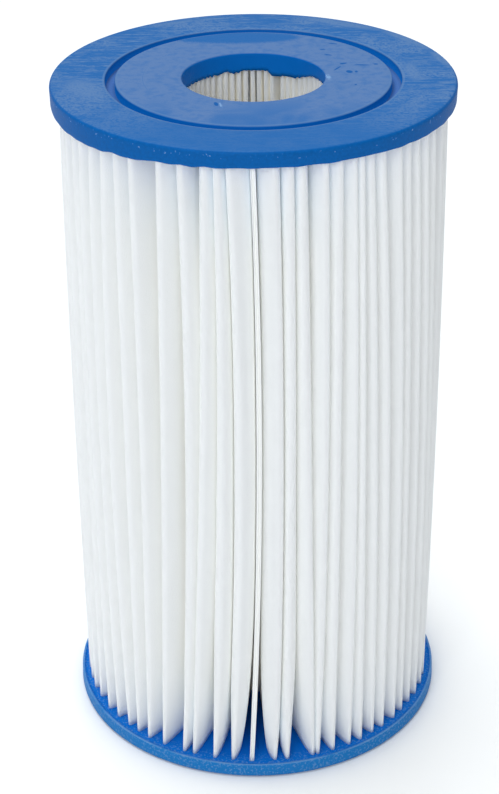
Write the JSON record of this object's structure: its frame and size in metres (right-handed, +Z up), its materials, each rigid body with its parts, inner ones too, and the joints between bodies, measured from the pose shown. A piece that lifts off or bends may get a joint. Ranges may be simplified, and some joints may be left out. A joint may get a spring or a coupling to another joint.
{
  "type": "pleated filter cartridge",
  "caption": "Open-ended pleated filter cartridge for a small pool or spa pump: a ring of folded filter cloth potted between two cast polymer end caps with a central bore.",
  "frame": {"origin": "centre of the lower end cap's flat face, which the cartridge stands on", "axes": "+Z up along the bore's axis to the upper end cap; the bonded fin of the cloth points along -Y"},
  "size_m": [0.142, 0.142, 0.252],
  "materials": {
    "cap_polymer": "satin",
    "filter_cloth": "matte",
    "seam_adhesive": "satin"
  },
  "bodies": {
    "root": {"top_end_cap": "cap_polymer", "bottom_end_cap": "cap_polymer", "pleated_media": "filter_cloth", "media_seam": "seam_adhesive"}
  },
  "joints": []
}
